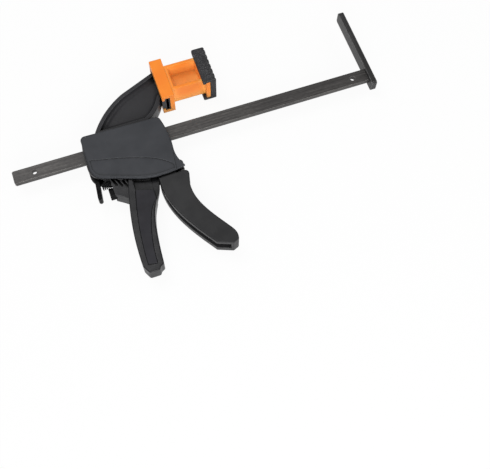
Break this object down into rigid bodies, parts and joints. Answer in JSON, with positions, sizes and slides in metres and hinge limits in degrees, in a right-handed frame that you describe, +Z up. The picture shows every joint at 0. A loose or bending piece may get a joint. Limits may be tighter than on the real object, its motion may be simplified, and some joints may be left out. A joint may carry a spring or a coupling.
{
  "type": "trigger bar clamp",
  "caption": "One-hand trigger clamp for guide rails: flat steel bar with a straight fixed jaw, moulded body with arm, grip, trigger and release lever, and a ribbed pad on an orange carrier.",
  "frame": {"origin": "middle of the bottom of the box round the clamp as it lies on its far side", "axes": "+X along the bar towards the fixed jaw, +Y from the bar towards the jaws, +Z up, out of the near cover"},
  "size_m": [0.4136, 0.239, 0.036],
  "materials": {
    "bar_steel": "dark drawn steel with a thin oxide skin",
    "body_plastic": "fine moulded texture",
    "cover_plastic": "satin moulded",
    "panel_plastic": "satin moulded",
    "carrier_plastic": "moulded orange",
    "pad_rubber": "matt black",
    "plated_steel": "zinc plated",
    "lever_steel": "black oxide",
    "spring_steel": "dark oiled spring wire"
  },
  "bodies": {
    "body": {"body_frame": "body_plastic", "near_cover": "cover_plastic", "far_cover": "cover_plastic", "cover_screws": "plated_steel", "near_grip_panel": "panel_plastic", "far_grip_panel": "panel_plastic", "pad_carrier": "carrier_plastic", "rubber_pad": "pad_rubber", "trigger_pin": "plated_steel", "drive_spring": "spring_steel", "brake_pin": "plated_steel", "tab_stop": "body_plastic", "brake_spring": "spring_steel"},
    "bar": {"bar": "bar_steel", "fixed_jaw": "bar_steel"},
    "trigger": {"trigger": "body_plastic", "drive_pin": "plated_steel"},
    "drive": {"front_drive_plate": "plated_steel", "rear_drive_plate": "plated_steel"},
    "brake": {"brake_lever": "lever_steel"}
  },
  "joints": [
    {"name": "bar_slide", "type": "slide", "parent": "body", "child": "bar", "axis": [1, 0, 0], "range_m": [-0.1665, 0.05]},
    {"name": "trigger_pull", "type": "hinge", "parent": "body", "child": "trigger", "pos_m": [-0.0468, 0.0195, 0.018], "axis": [0, 0, -1], "range_deg": [0, 8], "stiffness_Nm_per_rad": 0.6, "springref_deg": -8.59},
    {"name": "drive_advance", "type": "slide", "parent": "body", "child": "drive", "axis": [-1, 0, 0], "range_m": [0, 0.00272], "deforming": ["drive_spring"]},
    {"name": "brake_release", "type": "hinge", "parent": "body", "child": "brake", "pos_m": [-0.1175, 0.0165, 0.018], "axis": [0, 0, 1], "range_deg": [0, 6.5], "stiffness_Nm_per_rad": 0.5, "springref_deg": -8.59, "deforming": ["brake_spring"]}
  ],
  "couplings": [
    {"joint": "drive_advance", "follows": "trigger_pull", "m_per_rad": 0.019134}
  ]
}
